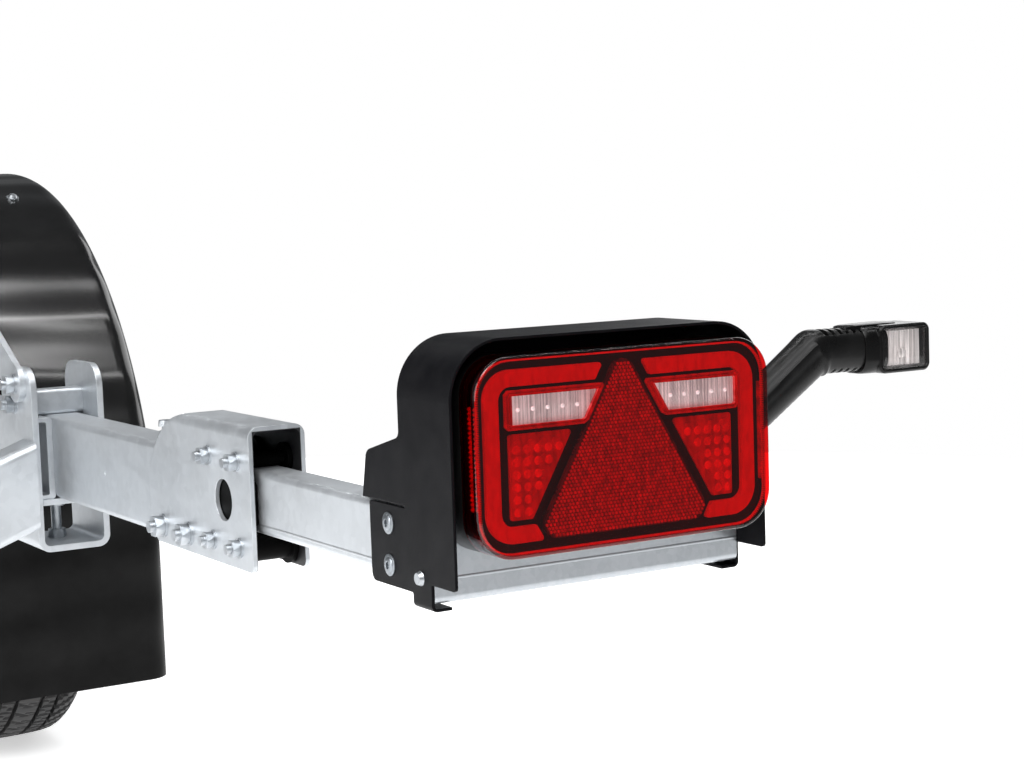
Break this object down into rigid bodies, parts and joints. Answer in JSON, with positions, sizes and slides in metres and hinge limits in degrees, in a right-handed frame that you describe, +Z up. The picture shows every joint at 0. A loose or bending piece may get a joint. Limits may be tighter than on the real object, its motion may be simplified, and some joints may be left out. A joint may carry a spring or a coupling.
{
  "type": "boat trailer rear corner",
  "caption": "Rear corner of a galvanised boat trailer: side beam, wheel with mudguard, clamped cross member and telescopic arm with a rear lamp and rubber marker.",
  "frame": {"origin": "centre of the four splice holes on the side beam's inboard face", "axes": "+X outboard, -Y to the rear of the trailer, the way the lamp faces, +Z up"},
  "size_m": [0.6673, 2.12, 0.7718],
  "materials": {
    "galvanised": "dull spangled zinc coat",
    "zinc": "bright zinc plate",
    "black_steel": "fine-textured black powder coat",
    "black_plastic": "satin black moulding",
    "nylon": "plain black nylon",
    "red_lens": "clear red polished moulding",
    "red_guide": "bright red light guide",
    "red_cluster": "red lensed cluster",
    "window": "clear window",
    "led": "white diode",
    "board": "circuit board",
    "rubber": "matt black rubber",
    "tyre": "worn black rubber",
    "amber": "clear marker window",
    "cast": "machined casting",
    "rim": "silver wheel paint"
  },
  "bodies": {
    "chassis": {"main_beam": "galvanised", "beam_end_cap": "black_plastic", "slide_bracket": "galvanised", "bracket_bolts": "zinc", "bracket_nuts": "zinc", "arm_lock_screw": "zinc", "saddle_clamp": "galvanised", "spacer_channel": "galvanised", "clamp_tube": "galvanised", "pressure_plate": "galvanised", "clamp_fasteners": "zinc", "cross_member": "galvanised", "support_strut": "galvanised", "axle_tube": "galvanised", "axle_bolts": "zinc", "rubber_cords": "rubber", "mudguard": "black_plastic", "mudguard_stays": "galvanised", "mudguard_fasteners": "zinc"},
    "arm": {"arm_tube": "galvanised", "arm_slider": "nylon", "cross_tube": "galvanised", "cross_tube_plugs": "black_plastic", "lamp_cover": "black_steel", "cover_back_panel": "black_steel", "cable_gland": "nylon", "cover_flange_bolts": "zinc", "cover_screws": "zinc", "lamp_mount_plate": "galvanised", "lamp_base": "black_plastic", "lamp_gasket": "rubber", "lamp_lens": "red_lens", "optic_tray": "black_plastic", "light_guides": "red_guide", "triangle_reflector": "red_guide", "stop_lenses": "red_cluster", "reversing_windows": "window", "reversing_leds": "led", "circuit_board": "board", "lamp_bolts": "zinc", "marker_base": "black_plastic"},
    "marker": {"marker_arm": "rubber", "marker_head": "rubber", "marker_lenses": "amber", "marker_led_board": "board"},
    "upper_rear_roll": {"upper_roller_rear": "nylon"},
    "upper_front_roll": {"upper_roller_front": "nylon"},
    "lower_rear_roll": {"lower_roller_rear": "nylon"},
    "lower_front_roll": {"lower_roller_front": "nylon"},
    "swing": {"swing_arm": "galvanised", "brake_backplate": "black_steel", "stub_axle": "cast", "axle_nut": "zinc"},
    "wheel": {"hub_drum": "cast", "wheel_bearings": "zinc", "dust_cap": "zinc", "wheel_rim": "rim", "wheel_bolts": "zinc", "tyre": "tyre", "tyre_valve": "rubber"}
  },
  "joints": [
    {"name": "arm_slide", "type": "slide", "parent": "chassis", "child": "arm", "axis": [0, -1, 0], "range_m": [-0.17, 0.55]},
    {"name": "upper_rear_turn", "type": "hinge", "parent": "chassis", "child": "upper_rear_roll", "pos_m": [0.02, -1.547, 0.0411], "axis": [1, 0, 0], "continuous": true},
    {"name": "upper_front_turn", "type": "hinge", "parent": "chassis", "child": "upper_front_roll", "pos_m": [0.02, -1.49, 0.0411], "axis": [1, 0, 0], "continuous": true},
    {"name": "lower_rear_turn", "type": "hinge", "parent": "chassis", "child": "lower_rear_roll", "pos_m": [0.02, -1.547, -0.0271], "axis": [1, 0, 0], "continuous": true},
    {"name": "lower_front_turn", "type": "hinge", "parent": "chassis", "child": "lower_front_roll", "pos_m": [0.02, -1.494, -0.0271], "axis": [1, 0, 0], "continuous": true},
    {"name": "suspension_swing", "type": "hinge", "parent": "chassis", "child": "swing", "pos_m": [0.053, -0.125, -0.075], "axis": [-1, 0, 0], "range_deg": [0, 22], "stiffness_Nm_per_rad": 600, "springref_deg": -2.86},
    {"name": "wheel_spin", "type": "hinge", "parent": "swing", "child": "wheel", "pos_m": [0.15, -0.255, -0.182], "axis": [1, 0, 0], "continuous": true},
    {"name": "marker_flex", "type": "hinge", "parent": "arm", "child": "marker", "pos_m": [0.271, -1.85, 0.074], "axis": [0, 0, 1], "range_deg": [-25, 25], "stiffness_Nm_per_rad": 3}
  ],
  "couplings": [
    {"joint": "upper_rear_turn", "follows": "arm_slide", "rad_per_m": -166.67},
    {"joint": "upper_front_turn", "follows": "arm_slide", "rad_per_m": -166.67},
    {"joint": "lower_rear_turn", "follows": "arm_slide", "rad_per_m": 83.333},
    {"joint": "lower_front_turn", "follows": "arm_slide", "rad_per_m": 83.333}
  ]
}
